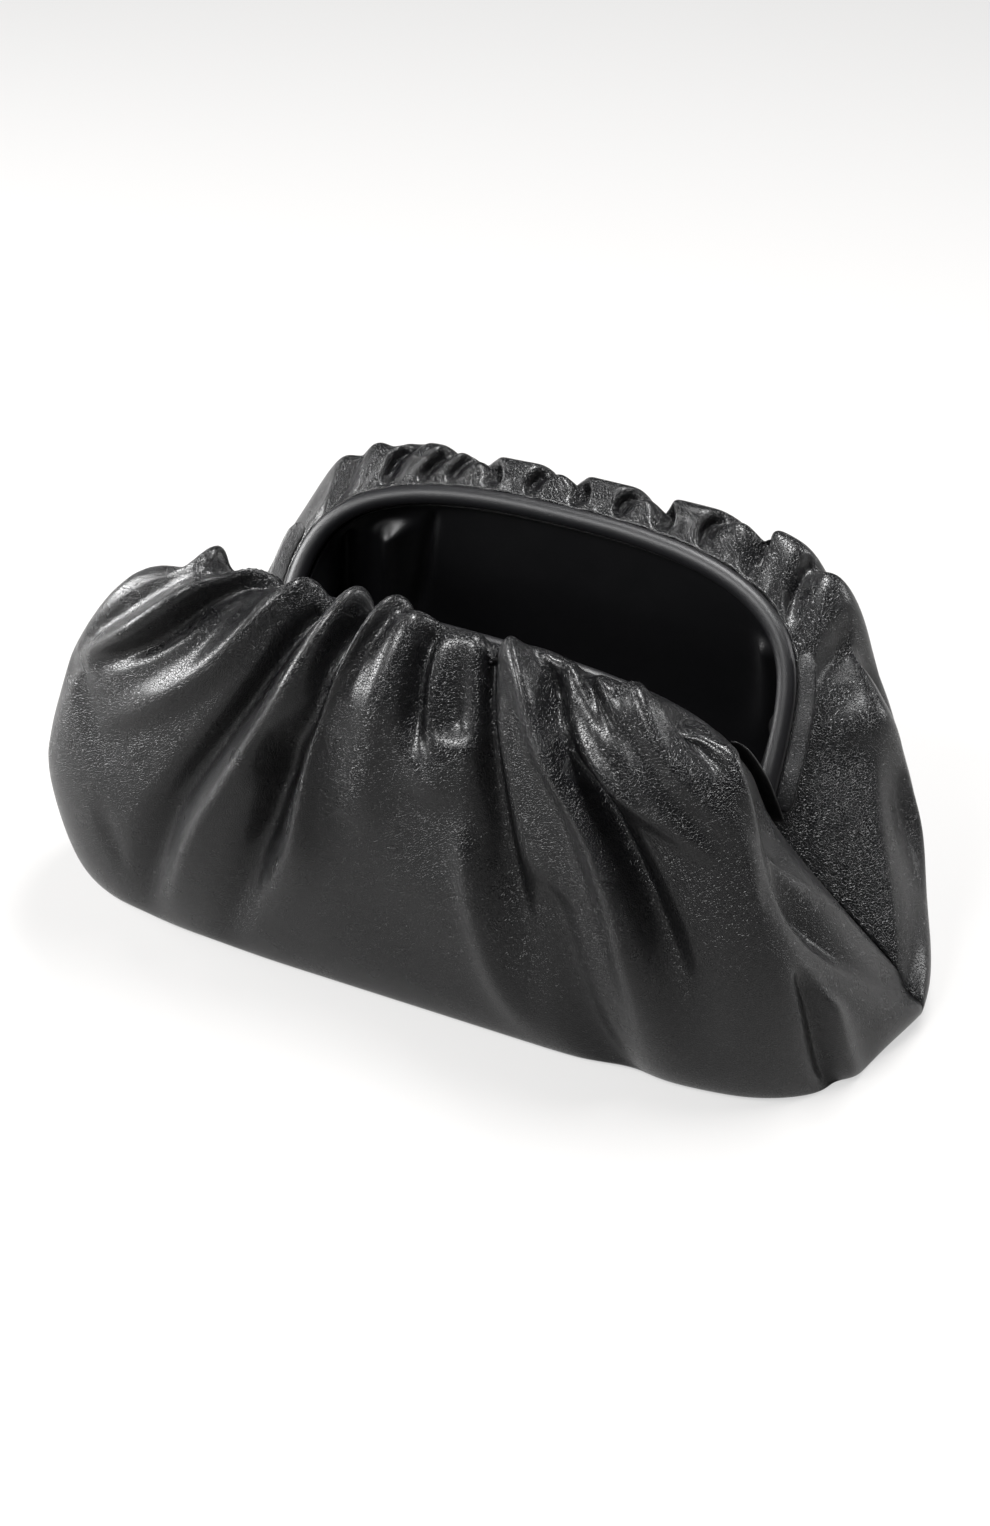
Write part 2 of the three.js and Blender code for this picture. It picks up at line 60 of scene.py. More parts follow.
# %% Driving sizes, in millimetres
LENGTH = 402
DEPTH = 208
HEIGHT = 190
LEATHER_WALL = 1.8
LINING_WALL = 1.2

HINGE_HALF_SPAN = 125
HINGE_HEIGHT = 82
ARCH_RISE = 112.5
ARCH_SIDE_POWER, ARCH_TOP_POWER = 2.5, 5.1  # 2 is an ellipse, and more is squarer
FRAME_LEAN = math.radians(31)  # of each half, from upright
TUBE_RADIUS = 4.5
PANEL_OFFSET = TUBE_RADIUS + 0.3  # from the arch to a panel's seam
LINING_LIFT = 8.5  # of the lining's floor above the ground

FRONT, BACK = -1, 1

HINGES = ("hinge_left", "hinge_right")
hinge_boxes = [np.array([list(c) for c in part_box(name)]) for name in HINGES]
AXIS_MIDDLE = np.mean(hinge_boxes, axis=(0, 1)) / MM
ORIGIN = np.array([AXIS_MIDDLE[0], AXIS_MIDDLE[1], 0.0])
print("hinge axis middle, mm:", AXIS_MIDDLE.round(2))

# %% [markdown]
# ## Curves that never overshoot
#
# A row of the tables is one station along the arch. Between stations the leather must not bulge
# past them, so the slope at a station is the harmonic mean of the chords on its two sides, and level
# where the values turn.

# %% Interpolation


def smooth(low, high, value):
    """0 below low, 1 above high, and 3t^2 - 2t^3 between them."""
    t = np.clip((value - low) / (high - low), 0, 1)
    return t * t * (3 - 2 * t)


def steady_curve(knots, values, at):
    """Cubic pieces through values (first axis: knots), read at each place in at. Between two knots
    the cubic has the value and the slope of each end."""
    knots, values, at = (np.asarray(a, float) for a in (knots, values, at))
    spans = np.diff(knots).reshape(-1, *[1] * (values.ndim - 1))
    chords = np.diff(values, axis=0) / spans
    before, after = chords[:-1], chords[1:]
    turning = before * after <= 0
    total = np.where(turning, 1, before + after)
    inner = np.where(turning, 0, 2 * before * after / total)
    slopes = np.concatenate([chords[:1], inner, chords[-1:]])
    i = np.clip(np.searchsorted(knots, at, side="right") - 1, 0, len(knots) - 2)
    t = ((at - knots[i]) / (knots[i + 1] - knots[i])).reshape(-1, *[1] * (values.ndim - 1))
    return (
        (2 * t**3 - 3 * t**2 + 1) * values[i]
        + (t**3 - 2 * t**2 + t) * spans[i] * slopes[i]
        + (3 * t**2 - 2 * t**3) * values[i + 1]
        + (t**3 - t**2) * spans[i] * slopes[i + 1]
    )


print("between two equal values the curve gives", steady_curve([0, 1, 2], [0, 1, 1], [1.5])[0])

# %% [markdown]
# ## The frame's arch
#
# Each half of the frame is a rounded rectangle, which a superellipse gives with two powers: one for
# how square it is across and one for how square it is up its height. Pleats are spaced along the
# tube, so the arch is measured by its length.

# %% Arch by length


def measured_arch(steps=1440):
    """Superellipse x = -w sgn(cos a) |cos a|^(2/n), rise = h |sin a|^(2/m), with running length."""
    angle = np.linspace(0, np.pi, steps + 1)
    across, up = np.cos(angle), np.abs(np.sin(angle))
    x = -HINGE_HALF_SPAN * np.sign(across) * np.abs(across) ** (2 / ARCH_SIDE_POWER)
    rise = ARCH_RISE * up ** (2 / ARCH_TOP_POWER)
    length = np.concatenate([[0], np.cumsum(np.hypot(np.diff(x), np.diff(rise)))])
    return x, rise, length


ARCH_X, ARCH_Z, ARCH_RUN = measured_arch()
ARCH_LENGTH = ARCH_RUN[-1]
SLOPE_REACH = 1.5  # mm to either side, over which the arch's direction is taken


def arch_point(u, outwards=0.0):
    """Point at share u (-1 left hinge, 1 right hinge), moved outwards along the arch's normal."""
    at = (np.asarray(u, float) + 1) / 2 * ARCH_LENGTH
    before, after = at - SLOPE_REACH, at + SLOPE_REACH
    dx = np.interp(after, ARCH_RUN, ARCH_X) - np.interp(before, ARCH_RUN, ARCH_X)
    dz = np.interp(after, ARCH_RUN, ARCH_Z) - np.interp(before, ARCH_RUN, ARCH_Z)
    run = np.hypot(dx, dz)
    x = np.interp(at, ARCH_RUN, ARCH_X) - dz / run * outwards
    rise = np.interp(at, ARCH_RUN, ARCH_Z) + dx / run * outwards
    return x, rise


def leaning(side, x, rise, apart=0.0):
    """From the arch's own plane to the bag's x, y, z: the plane leans outwards by FRAME_LEAN, and
    apart is the way out of it, away from the mouth."""
    y = side * (rise * np.sin(FRAME_LEAN) + apart * np.cos(FRAME_LEAN))
    z = HINGE_HEIGHT + rise * np.cos(FRAME_LEAN) - apart * np.sin(FRAME_LEAN)
    return np.stack(np.broadcast_arrays(x, y, z), axis=-1)


print("arch length, mm:", round(float(ARCH_LENGTH)))

# %% [markdown]
# ## Where the leather goes
#
# Five lines run round each panel: the crest of the gathers, the shoulder, the belly, the foot where
# it turns under, and the keel. The form could be sculpted, but a table can be read, and changed in
# one place. Each row places the lines as shares of the bag's half length, half depth and height. The
# bag sags a little more to one side, which the wing changes give.

# %% Panel tables
PANEL_STATIONS = np.array([
    # at, crest x y z, shoulder x y z, belly x y z, foot x y, keel x
    [0.00, 0.00, 0.72, 1.000, 0.00, 0.94, 0.830, 0.00, 1.00, 0.42, 0.000, 0.86, 0.00],
    [0.25, 0.26, 0.72, 0.995, 0.29, 0.94, 0.825, 0.31, 1.00, 0.42, 0.310, 0.86, 0.28],
    [0.45, 0.47, 0.72, 0.980, 0.52, 0.92, 0.800, 0.57, 0.99, 0.41, 0.570, 0.84, 0.52],
    [0.60, 0.64, 0.70, 0.910, 0.71, 0.86, 0.740, 0.76, 0.94, 0.39, 0.770, 0.79, 0.70],
    [0.74, 0.745, 0.60, 0.740, 0.82, 0.74, 0.600, 0.88, 0.83, 0.34, 0.890, 0.69, 0.82],
    [0.87, 0.84, 0.40, 0.500, 0.90, 0.52, 0.400, 0.95, 0.60, 0.24, 0.960, 0.54, 0.90],
    [0.95, 0.92, 0.18, 0.280, 0.96, 0.26, 0.220, 0.99, 0.32, 0.14, 0.985, 0.30, 0.94],
    [1.00, 0.97, 0.00, 0.140, 0.985, 0.00, 0.110, 1.00, 0.00, 0.07, 0.980, 0.00, 0.95],
])
PANEL_LINES = [0, 0.1, 0.22, 0.5, 0.76, 1]  # v of the frame seam and of the five lines
X_COLUMNS = [0, 1, 4, 7, 10, 12]  # at and the x columns change sign on the left half

WING_CHANGES = {
    # side, end: spread of crest, shoulder, belly, foot; rise of crest, shoulder, belly
    (FRONT, -1): (1.06, 1.09, 1.08, 1.01, 0.045, 0.05, 0.02),
    (FRONT, 1): (1.00, 0.99, 0.98, 0.98, 0, 0, 0),
    (BACK, -1): (0.94, 0.95, 0.97, 1.00, 0, 0, 0),
    (BACK, 1): (0.975, 0.935, 0.945, 0.98, 0, 0, 0),
}
WING_FROM, WING_FULL, WING_ENDS = 0.15, 0.6, 0.86  # where the changes grow and fade, in u
SPREAD_COLUMNS = (0, 3, 6, 9)  # of a row without its first column
RISE_COLUMNS = (2, 5, 8)
TINY = 1e-9  # least length that anything is divided by


def station_rows(table, x_columns, u):
    """The half-arch table mirrored to both ends and read at every u."""
    left = table[:0:-1].copy()
    left[:, x_columns] *= -1
    whole = np.vstack([left, table])
    return steady_curve(whole[:, 0], whole[:, 1:], u)


def panel_spines(side, u):
    """The frame seam and the five lines at each u: shape (6, len(u), 3), in mm."""
    rows = station_rows(PANEL_STATIONS, X_COLUMNS, u)
    weight = smooth(WING_FROM, WING_FULL, np.abs(u)) * (1 - smooth(WING_ENDS, 1, np.abs(u)))
    changes = np.where(u[:, None] < 0, WING_CHANGES[side, -1], WING_CHANGES[side, 1])
    for line, column in enumerate(SPREAD_COLUMNS):
        rows[:, column] *= 1 + (changes[:, line] - 1) * weight
    for line, column in enumerate(RISE_COLUMNS, len(SPREAD_COLUMNS)):
        rows[:, column] += changes[:, line] * weight
    half, deep = LENGTH / 2, DEPTH / 2
    nought = 0 * u

    def place(x, y, z):
        return np.stack([x * half, side * y * deep, z * HEIGHT], axis=-1)

    seam_x, seam_rise = arch_point(u, PANEL_OFFSET)
    return np.stack([
        leaning(side, seam_x, seam_rise),
        place(rows[:, 0], rows[:, 1], rows[:, 2]),
        place(rows[:, 3], rows[:, 4], rows[:, 5]),
        place(rows[:, 6], rows[:, 7], rows[:, 8]),
        place(rows[:, 9], rows[:, 10], nought),
        place(rows[:, 11], nought, nought),
    ])


def grid_normals(points, side):
    """Normals of a grid (rows down v, columns along u), pointing out of the bag: the cross product
    of the steps along u and along v, divided by its length."""
    along_v, along_u = np.gradient(points, axis=0), np.gradient(points, axis=1)
    normals = side * np.cross(along_u, along_v)
    return normals / np.maximum(np.linalg.norm(normals, axis=-1, keepdims=True), TINY)


belly = panel_spines(FRONT, np.array([-1.0, 0.0, 1.0]))[3]
print("front belly at its left end, middle and right end, mm:", belly.round().tolist())

# %% [markdown]
# ## Folds
#
# Gathered leather falls in folds that start at the frame, wander and fade. A fold here is one row: a
# line down the panel, a width that grows, and a height along the leather's normal. A positive height
# is a ridge and a negative one a valley. `lean` slides the ridge over to one side, as a real fold
# falls over its own valley.

# %% Fold tables
# u at the top, a third down, two thirds down and the end; v at the top and the end;
# width in u at the top and the end; height in mm; lean
FRONT_FOLDS = np.array([
    [-0.500, -0.470, -0.520, -0.64, 0.05, 0.26, 0.022, 0.034, 10, 0.3],
    [-0.400, -0.480, -0.560, -0.68, 0.07, 0.25, 0.014, 0.020, -7, 0.0],
    [-0.360, -0.450, -0.530, -0.64, 0.07, 0.28, 0.016, 0.024, 7, 0.2],
    [-0.330, -0.420, -0.500, -0.60, 0.07, 0.30, 0.014, 0.022, -7, 0.0],
    [-0.275, -0.355, -0.460, -0.58, 0.07, 0.42, 0.022, 0.036, 8, 0.2],
    [-0.215, -0.320, -0.440, -0.57, 0.07, 0.76, 0.014, 0.034, -14, 0.0],
    [-0.165, -0.272, -0.388, -0.53, 0.06, 0.74, 0.028, 0.055, 10, 0.2],
    [-0.130, -0.200, -0.275, -0.41, 0.07, 0.74, 0.015, 0.036, -14, 0.0],
    [-0.245, -0.245, -0.245, -0.245, 0.29, 0.42, 0.032, 0.032, -5, 0.0],
    [-0.070, -0.185, -0.200, -0.37, 0.06, 0.68, 0.020, 0.044, 10, 0.3],
    [-0.020, -0.050, -0.070, -0.09, 0.08, 0.50, 0.034, 0.060, 6, 0.0],
    [0.050, 0.015, 0.020, 0.06, 0.05, 0.30, 0.013, 0.022, -10, 0.0],
    [0.100, 0.100, 0.100, 0.10, 0.15, 0.25, 0.036, 0.036, -8, 0.0],
    [0.050, 0.055, 0.060, 0.06, 0.25, 0.36, 0.050, 0.050, 4, 0.0],
    [0.145, 0.170, 0.210, 0.28, 0.05, 0.66, 0.014, 0.045, -13, 0.0],
    [0.190, 0.370, 0.440, 0.49, 0.10, 0.72, 0.024, 0.046, 13, 0.3],
    [0.250, 0.420, 0.500, 0.56, 0.10, 0.66, 0.015, 0.050, -9, 0.0],
    [0.290, 0.290, 0.290, 0.29, 0.12, 0.20, 0.024, 0.024, -7, 0.0],
    [0.250, 0.300, 0.450, 0.60, 0.09, 0.30, 0.020, 0.030, 6, 0.1],
    [0.345, 0.370, 0.420, 0.48, 0.06, 0.20, 0.016, 0.022, -6, 0.0],
    [0.390, 0.440, 0.520, 0.60, 0.10, 0.30, 0.018, 0.030, 4, 0.1],
    [0.460, 0.480, 0.530, 0.60, 0.08, 0.22, 0.024, 0.030, 5, 0.1],
    [0.550, 0.560, 0.580, 0.62, 0.07, 0.16, 0.032, 0.034, -7, 0.0],
    [0.660, 0.650, 0.670, 0.72, 0.08, 0.18, 0.026, 0.030, 5, -0.2],
    [0.800, 0.810, 0.830, 0.86, 0.05, 0.32, 0.080, 0.060, -13, 0.0],
    [0.280, 0.320, 0.380, 0.46, 0.44, 0.80, 0.040, 0.050, -7, 0.0],
    [0.130, 0.150, 0.190, 0.24, 0.40, 0.70, 0.022, 0.040, 5, 0.0],
    [0.800, 0.830, 0.860, 0.89, 0.42, 0.80, 0.024, 0.030, -6, 0.0],
    [0.860, 0.880, 0.900, 0.93, 0.45, 0.80, 0.024, 0.030, 5, 0.0],
])
BACK_FOLDS = np.array([
    [-0.560, -0.570, -0.600, -0.64, 0.00, 0.30, 0.022, 0.036, -4, 0.0],
    [-0.440, -0.440, -0.430, -0.42, 0.00, 0.14, 0.016, 0.020, -8, 0.5],
    [-0.355, -0.340, -0.320, -0.30, 0.00, 0.15, 0.013, 0.018, -9, 0.5],
    [-0.285, -0.275, -0.260, -0.25, 0.00, 0.13, 0.012, 0.016, -7, 0.5],
    [-0.185, -0.200, -0.230, -0.26, 0.00, 0.17, 0.014, 0.020, -9, -0.5],
    [-0.090, -0.085, -0.070, -0.05, 0.00, 0.14, 0.012, 0.018, -8, 0.5],
    [0.020, 0.015, -0.010, -0.04, 0.00, 0.16, 0.014, 0.020, -9, -0.5],
    [0.125, 0.130, 0.150, 0.18, 0.00, 0.14, 0.013, 0.018, -8, 0.5],
    [0.225, 0.215, 0.190, 0.16, 0.00, 0.17, 0.015, 0.022, -10, -0.5],
    [0.330, 0.335, 0.360, 0.39, 0.00, 0.15, 0.015, 0.020, -8, 0.5],
    [0.440, 0.440, 0.430, 0.42, 0.00, 0.18, 0.016, 0.024, -9, -0.5],
    [0.560, 0.570, 0.600, 0.65, 0.00, 0.34, 0.020, 0.036, -7, 0.0],
    [0.720, 0.730, 0.770, 0.83, 0.04, 0.56, 0.034, 0.050, -8, 0.0],
    [0.810, 0.830, 0.870, 0.91, 0.05, 0.56, 0.028, 0.038, 6, 0.0],
    [-0.480, -0.500, -0.560, -0.62, 0.10, 0.66, 0.024, 0.050, -6, 0.0],
    [-0.400, -0.420, -0.470, -0.52, 0.18, 0.66, 0.034, 0.050, 5, 0.0],
    [-0.280, -0.300, -0.340, -0.38, 0.12, 0.70, 0.022, 0.050, -7, 0.0],
    [-0.140, -0.150, -0.170, -0.20, 0.18, 0.70, 0.036, 0.060, 6, 0.0],
    [-0.040, -0.045, -0.050, -0.05, 0.12, 0.60, 0.022, 0.050, -6, 0.0],
    [0.080, 0.090, 0.110, 0.14, 0.18, 0.66, 0.036, 0.060, 6, 0.0],
    [0.180, 0.200, 0.240, 0.28, 0.12, 0.70, 0.022, 0.050, -7, 0.0],
    [0.280, 0.300, 0.350, 0.41, 0.18, 0.70, 0.036, 0.060, 6, 0.0],
    [0.400, 0.430, 0.490, 0.55, 0.12, 0.66, 0.022, 0.050, -7, 0.0],
    [0.480, 0.500, 0.560, 0.63, 0.18, 0.66, 0.034, 0.050, 5, 0.0],
])
FOLD_START = 0.04  # in v, how far before and after its top a fold grows
FOLD_FADE = 0.6  # share of its run after which a fold fades
FOLD_ENDS = 0.9  # in u, from where the side seam draws the leather flat
U_TO_V = 0.6  # length of a step in u where the same step in v is 1


def fold_moves(folds, u, v):
    """Height along the normal and slide along u that the folds give on the grid of u and v, in mm.
    A fold adds its height times e to the power of minus (distance from its line / width) squared.
    Where its line slants, its width in u is more, so that it stays as wide across itself."""
    height, slide = np.zeros((2, len(v), len(u)))
    for *line, top, end, width_top, width_end, rise, lean in folds:
        run = np.clip((v - top) / (end - top), 0, 1)
        centre = steady_curve([0, 1 / 3, 2 / 3, 1], line, run)[:, None]
        slant = np.hypot(1, U_TO_V * np.gradient(centre[:, 0], v))[:, None]
        width = (width_top + (width_end - width_top) * run)[:, None] * slant
        across = (u[None, :] - centre) / width
        along = smooth(top - FOLD_START, top + FOLD_START, v) * (1 - smooth(FOLD_FADE, 1, run))
        bump = rise * along[:, None] * np.exp(-across * across)
        height += bump
        slide += lean * bump
    held = smooth(0, FOLD_START, v)[:, None] * (1 - smooth(FOLD_ENDS, 1, np.abs(u)))[None, :]
    return height * held, slide * held


print("folds in front:", len(FRONT_FOLDS), "behind:", len(BACK_FOLDS))

# %% [markdown]
# ## The panel surface
#
# The real panel is one flat hide, wider than the frame, gathered at its top edge. Its surface is a
# grid: each column runs down through the five lines by the steady curve, and the folds then move it
# along its normal. A grid keeps even quads for the cloth, and its `u` and `v` double as the UV map.

# %% Panels as grids
CORNER_REACH = 8  # mm the side seam's low corner stands out at each end
CORNER_AT, CORNER_TALL, CORNER_WIDE = 0.6, 0.14, 0.05  # in v, v and u
MIDDLE_GAP = 0.2  # mm that a panel keeps from the plane between the two


def panel_points(side, folds, u, v):
    """The panel's outer face in mm, (rows, columns, 3): the curves through the five lines, moved by
    the folds' height along the normal and slide along u, with a corner low on the side seam."""
    spines = panel_spines(side, u)
    points = steady_curve(PANEL_LINES, spines, v)
    normals = grid_normals(points, side)
    along_u = np.gradient(points, axis=1)
    along_u /= np.maximum(np.linalg.norm(along_u, axis=-1, keepdims=True), TINY)
    height, slide = fold_moves(folds, u, v)
    points = points + normals * height[..., None] + along_u * slide[..., None]
    low = np.exp(-(((v - CORNER_AT) / CORNER_TALL) ** 2))[:, None]
    at_end = np.exp(-(((1 - np.abs(u)) / CORNER_WIDE) ** 2))[None, :]
    points[..., 0] += np.sign(u)[None, :] * CORNER_REACH * low * at_end
    points[..., 1] = side * np.maximum(side * points[..., 1], MIDDLE_GAP)
    points[..., 2] = np.maximum(points[..., 2], 0)
    return points


def linked(name, data):
    """An object that holds this data, in the scene."""
    made = bpy.data.objects.new(name, data)
    bpy.context.collection.objects.link(made)
    return made


def grid_mesh(name, points, flip):
    """A mesh from a grid of points in mm, with quads and a UV map that follows u and v."""
    rows, columns = points.shape[:2]
    index = np.arange(rows * columns).reshape(rows, columns)
    corners = [index[:-1, :-1], index[1:, :-1], index[1:, 1:], index[:-1, 1:]]
    quads = np.stack(corners, axis=-1).reshape(-1, 4)
    if flip:
        quads = quads[:, ::-1]
    mesh = bpy.data.meshes.new(name)
    mesh.from_pydata((points.reshape(-1, 3) + ORIGIN) * MM, [], quads.tolist())
    share_u, share_v = np.meshgrid(np.linspace(0, 1, columns), np.linspace(0, 1, rows))
    shares = np.stack([share_u, share_v], axis=-1).reshape(-1, 2)
    layer = mesh.uv_layers.new(name="UVMap")
    layer.uv.foreach_set("vector", shares[quads.ravel()].astype(np.float32).ravel())
    mesh.polygons.foreach_set("use_smooth", np.ones(len(quads), bool))
    return linked(name, mesh)


def walled(piece, wall, outwards=False):
    """Gives a sheet its thickness, inwards from the face it was made as unless told otherwise."""
    solidify = piece.modifiers.new("wall", "SOLIDIFY")
    solidify.thickness = wall * MM
    solidify.offset = 1 if outwards else -1
    solidify.use_even_offset = False


PANEL_U = np.linspace(-1, 1, 180)
PANEL_V = np.concatenate([  # rows lie closest in the ruffle
    np.linspace(0, 0.12, 12)[:-1],
    np.linspace(0.12, 0.3, 14)[:-1],
    np.linspace(0.3, 0.76, 24)[:-1],
    np.linspace(0.76, 1, 4),
])
print("panel grid:", len(PANEL_V), "rows of", len(PANEL_U), "points")

# %% [markdown]
# ## Letting the leather settle
#
# Tables alone give folds that look drawn. Real gathers are spare leather that has nowhere to go, so
# each panel becomes cloth for a few frames: its sewn edges and its foot are held, it is told to be
# longer than the surface it starts on, most of all along the frame, and it buckles. The tables decide
# where the folds run and the simulation gives them their creases. A loose pull back to the start
# keeps the bag's outline.

# %% Cloth
SETTLE_FRAMES = 12
SPARE = {FRONT: 0.09, BACK: 0.05}  # how much longer the leather is than its surface, along the frame
SPARE_REACH = 0.2  # how far down the panel the spare leather reaches, in v
SPARE_ENDS = 0.6, 0.85  # where it runs out towards the ends, in u
HOLD = 0.05  # pull back to the start, away from the held edges
SEAM_TOP, SEAM_SIDE = 0.004, 0.985  # v above which and u past which the leather is sewn down
FOOT_FROM, FOOT_FULL, FOOT_HOLD = 0.62, 0.76, 0.9  # v between which the foot's hold grows, to this
FOOT_PINNED = 0.74  # v past which nothing moves
PUFF = 0.05  # pressure that keeps the panel full
BEND = 2  # how stiffly it resists a crease


def paint(piece, name, weights):
    """Vertex group with one weight for each vertex, in steps of a hundredth."""
    group = piece.vertex_groups.new(name=name)
    levels = np.round(weights.ravel(), 2)
    for level in np.unique(levels):
        group.add(np.flatnonzero(levels == level).tolist(), float(level), "REPLACE")


def settle(piece, u, v, longer):
    """Runs the cloth on a panel whose grid has these u and v, and keeps where its points end."""
    wings = 1 - smooth(*SPARE_ENDS, np.abs(u))[None, :]
    spare = np.exp(-((v / SPARE_REACH) ** 2))[:, None] * wings
    edge = (v[:, None] < SEAM_TOP) | (v[:, None] > FOOT_PINNED) | (np.abs(u)[None, :] > SEAM_SIDE)
    foot = FOOT_HOLD * smooth(FOOT_FROM, FOOT_FULL, v)[:, None] + 0 * wings
    paint(piece, "held", np.where(edge, 1, np.maximum(foot, HOLD)))
    paint(piece, "snug", 1 - spare)
    cloth = piece.modifiers.new("settle", "CLOTH")
    fabric = cloth.settings
    fabric.quality = 6
    fabric.mass = 0.3
    fabric.air_damping = 2
    fabric.bending_model = "ANGULAR"
    fabric.tension_stiffness = fabric.compression_stiffness = 25
    fabric.shear_stiffness = 10
    fabric.bending_stiffness = BEND
    fabric.tension_damping = fabric.compression_damping = fabric.shear_damping = 10
    fabric.bending_damping = 1
    fabric.vertex_group_mass = "held"
    fabric.pin_stiffness = 1
    fabric.vertex_group_shrink = "snug"
    fabric.shrink_min, fabric.shrink_max = -longer, 0
    fabric.use_pressure = True
    fabric.uniform_pressure_force = PUFF
    fabric.effector_weights.gravity = 0
    cloth.collision_settings.use_collision = False
    cloth.collision_settings.use_self_collision = False
    cloth.point_cache.frame_start, cloth.point_cache.frame_end = 1, SETTLE_FRAMES
    for number in range(1, SETTLE_FRAMES + 1):
        bpy.context.scene.frame_set(number)
    moved = piece.evaluated_get(bpy.context.evaluated_depsgraph_get()).data
    ends, starts = np.empty((2, len(moved.vertices) * 3), np.float32)
    moved.vertices.foreach_get("co", ends)
    piece.data.vertices.foreach_get("co", starts)
    piece.modifiers.remove(cloth)
    bpy.context.scene.frame_set(1)
    piece.vertex_groups.clear()
    piece.data.vertices.foreach_set("co", ends)
    piece.data.update()
    moves = np.linalg.norm((ends - starts).reshape(-1, 3), axis=1) / MM
    print(piece.name, "moved, mm: mean", moves.mean().round(1), "most", moves.max().round(1))


panels = {}
for side, name, folds in ((FRONT, "front_leather", FRONT_FOLDS), (BACK, "back_leather", BACK_FOLDS)):
    points = panel_points(side, folds, PANEL_U, PANEL_V)
    panels[side] = grid_mesh(name, points, side == BACK)
    settle(panels[side], PANEL_U, PANEL_V, SPARE[side])
    finer = panels[side].modifiers.new("finer", "SUBSURF")
    finer.levels = finer.render_levels = 1
    walled(panels[side], LEATHER_WALL)
    print(name, "quads:", len(panels[side].data.polygons))

# %% [markdown]
# ## Lining
#
# The lining is a thinner skin hung inside the frame. It is cut smaller than the panels, so it drapes
# in a few broad darts towards its ends rather than in gathers. Little of it is seen, so it isn't
# settled as cloth: its own table follows the frame's inner edge and then falls to a rounded floor,
# and its folds are rows like the panels'.

# %% Lining
LINING_STATIONS = np.array([
    # at, upper x (share of the hinge span) y z, middle x y z, floor x y, keel x
    [0.00, 0.00, 0.60, 0.74, 0.00, 0.72, 0.40, 0.00, 0.60, 0.00],
    [0.45, 0.74, 0.58, 0.72, 0.49, 0.69, 0.38, 0.50, 0.57, 0.46],
    [0.60, 0.91, 0.50, 0.66, 0.63, 0.59, 0.36, 0.64, 0.48, 0.57],
    [0.74, 0.915, 0.36, 0.55, 0.68, 0.43, 0.33, 0.70, 0.34, 0.64],
    [0.87, 0.91, 0.20, 0.44, 0.70, 0.23, 0.25, 0.73, 0.18, 0.67],
    [1.00, 0.91, 0.00, 0.37, 0.72, 0.00, 0.19, 0.74, 0.00, 0.68],
])
LINING_LINES = [0, 0.22, 0.55, 0.8, 1]  # v of its seam, upper line, middle, floor's edge and keel
LINING_OFFSET = TUBE_RADIUS + 2  # from the arch to the lining's seam
SEAM_TURN = math.radians(50)  # of that seam round the tube, from its inner side
SEAM_TURN_ENDS = 0.85  # in u, from where the seam goes back to the inner side
LINING_X_COLUMNS = [0, 1, 4, 7, 9]
LINING_FOLDS = np.array([
    [-0.43, -0.44, -0.46, -0.50, 0.09, 0.70, 0.045, 0.055, -9, 0.0],
    [-0.33, -0.34, -0.36, -0.40, 0.05, 0.50, 0.012, 0.018, 4, 0.0],
    [-0.56, -0.56, -0.55, -0.54, 0.08, 0.60, 0.018, 0.030, 4, 0.0],
    [0.70, 0.66, 0.60, 0.52, 0.24, 0.80, 0.034, 0.044, -6, 0.0],
    [0.80, 0.77, 0.72, 0.66, 0.26, 0.80, 0.034, 0.044, -5, 0.0],
    [0.52, 0.50, 0.47, 0.43, 0.16, 0.60, 0.030, 0.040, -5, 0.0],
])


def lining_points(side, u, v):
    """The lining's seen face on one side, in mm: its table surface, moved along its normal by the
    folds' height. Its first line lies beside the tube, turned round it by SEAM_TURN."""
    shares = station_rows(LINING_STATIONS, LINING_X_COLUMNS, u)
    half, deep = LENGTH / 2, DEPTH / 2
    turn = SEAM_TURN * (1 - smooth(SEAM_TURN_ENDS, 1, np.abs(u)))
    seam_x, seam_rise = arch_point(u, -LINING_OFFSET * np.cos(turn))
    lift = LINING_LIFT + 0 * u

    def place(x, y, z):
        return np.stack([x * half, side * y * deep, z], axis=-1)

    spines = np.stack([
        leaning(side, seam_x, seam_rise, LINING_OFFSET * np.sin(turn)),
        place(shares[:, 0] * HINGE_HALF_SPAN / half, shares[:, 1], shares[:, 2] * HEIGHT),
        place(shares[:, 3], shares[:, 4], shares[:, 5] * HEIGHT),
        place(shares[:, 6], shares[:, 7], lift),
        place(shares[:, 8], 0 * u, lift),
    ])
    points = steady_curve(LINING_LINES, spines, v)
    height = fold_moves(LINING_FOLDS, u, v)[0]
    return points + grid_normals(points, side) * height[..., None]


LINING_U = np.linspace(-1, 1, 220)
LINING_V = np.concatenate([np.linspace(0, 0.8, 70), np.linspace(0.8, 1, 8)[1:]])
linings = {}
for side, name in ((FRONT, "lining_front"), (BACK, "lining_back")):
    linings[side] = grid_mesh(name, lining_points(side, LINING_U, LINING_V), side == BACK)
    walled(linings[side], LINING_WALL, outwards=True)
    print(name, "quads:", len(linings[side].data.polygons))

# %% [markdown]
# ## Frame
#
# The frame is a steel tube wrapped in thin skived leather, with a flat strap sewn beside it at each
# end where the gathers stop. A curve with a bevel would give a plain tube, but not the strap's
# puckers or the drawn-in ends, so both are one closed section carried along the measured arch. The
# tube draws in where its wrap is folded over at the hinge.

# %% Frame tubes and straps
HINGE_GAP = 0.5  # mm from a tube's end to the plane between the two halves
HINGE_CLEARANCE = (TUBE_RADIUS * math.cos(FRAME_LEAN) + HINGE_GAP) / math.sin(FRAME_LEAN)


